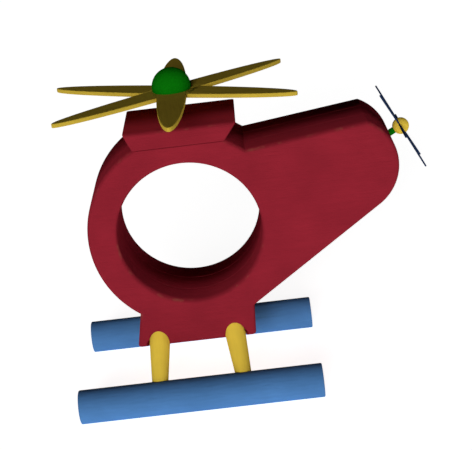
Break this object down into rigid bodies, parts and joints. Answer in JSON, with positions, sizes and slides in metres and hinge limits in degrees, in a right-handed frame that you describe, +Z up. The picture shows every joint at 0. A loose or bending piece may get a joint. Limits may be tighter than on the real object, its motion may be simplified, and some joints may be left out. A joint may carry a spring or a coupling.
{
  "type": "toy helicopter",
  "caption": "Painted wooden toy helicopter with a round cabin opening, a star-shaped rotor that turns, a small tail rotor and dowel skids on splayed pegs.",
  "frame": {"origin": "on the ground, at the middle of the toy's length and width", "axes": "+X from nose to tail along the body, +Y to the toy's right-hand side, +Z up; the skids stand on z = 0"},
  "size_m": [0.2404, 0.1744, 0.2142],
  "materials": {
    "red_paint": "satin paint",
    "blue_paint": "satin paint",
    "dark_blue_paint": "satin paint",
    "yellow_paint": "satin paint",
    "green_paint": "satin paint",
    "bare_wood": "unfinished",
    "steel": "zinc plated",
    "brass": "turned"
  },
  "bodies": {
    "airframe": {"body_board_left": "red_paint", "body_board_middle": "red_paint", "body_board_right": "red_paint", "body_dowel_nose": "bare_wood", "body_dowel_foot": "bare_wood", "body_dowel_boom": "bare_wood", "body_dowel_tail": "bare_wood", "rotor_pylon": "red_paint", "pylon_dowel_front": "bare_wood", "pylon_dowel_rear": "bare_wood", "leg_front_left": "yellow_paint", "leg_front_right": "yellow_paint", "leg_rear_left": "yellow_paint", "leg_rear_right": "yellow_paint", "skid_left": "blue_paint", "skid_right": "blue_paint", "rotor_mast": "green_paint", "rotor_washer_lower": "steel", "rotor_washer_upper": "steel", "rotor_screw": "steel", "tail_shaft": "green_paint", "tail_pin": "steel", "tail_washer": "steel"},
    "main_rotor": {"rotor_bar_lower": "yellow_paint", "rotor_bar_middle": "yellow_paint", "rotor_bar_upper": "yellow_paint", "rotor_bush": "brass", "rotor_dome": "green_paint"},
    "tail_rotor": {"tail_hub_inner": "yellow_paint", "tail_rotor_star": "dark_blue_paint", "tail_hub_outer": "yellow_paint"}
  },
  "joints": [
    {"name": "main_rotor_spin", "type": "hinge", "parent": "airframe", "child": "main_rotor", "pos_m": [-0.03667, 0, 0.19855], "axis": [0, 0, 1], "continuous": true},
    {"name": "tail_rotor_spin", "type": "hinge", "parent": "airframe", "child": "tail_rotor", "pos_m": [0.10653, 0, 0.1584], "axis": [0.8878, 0, 0.4602], "continuous": true}
  ]
}
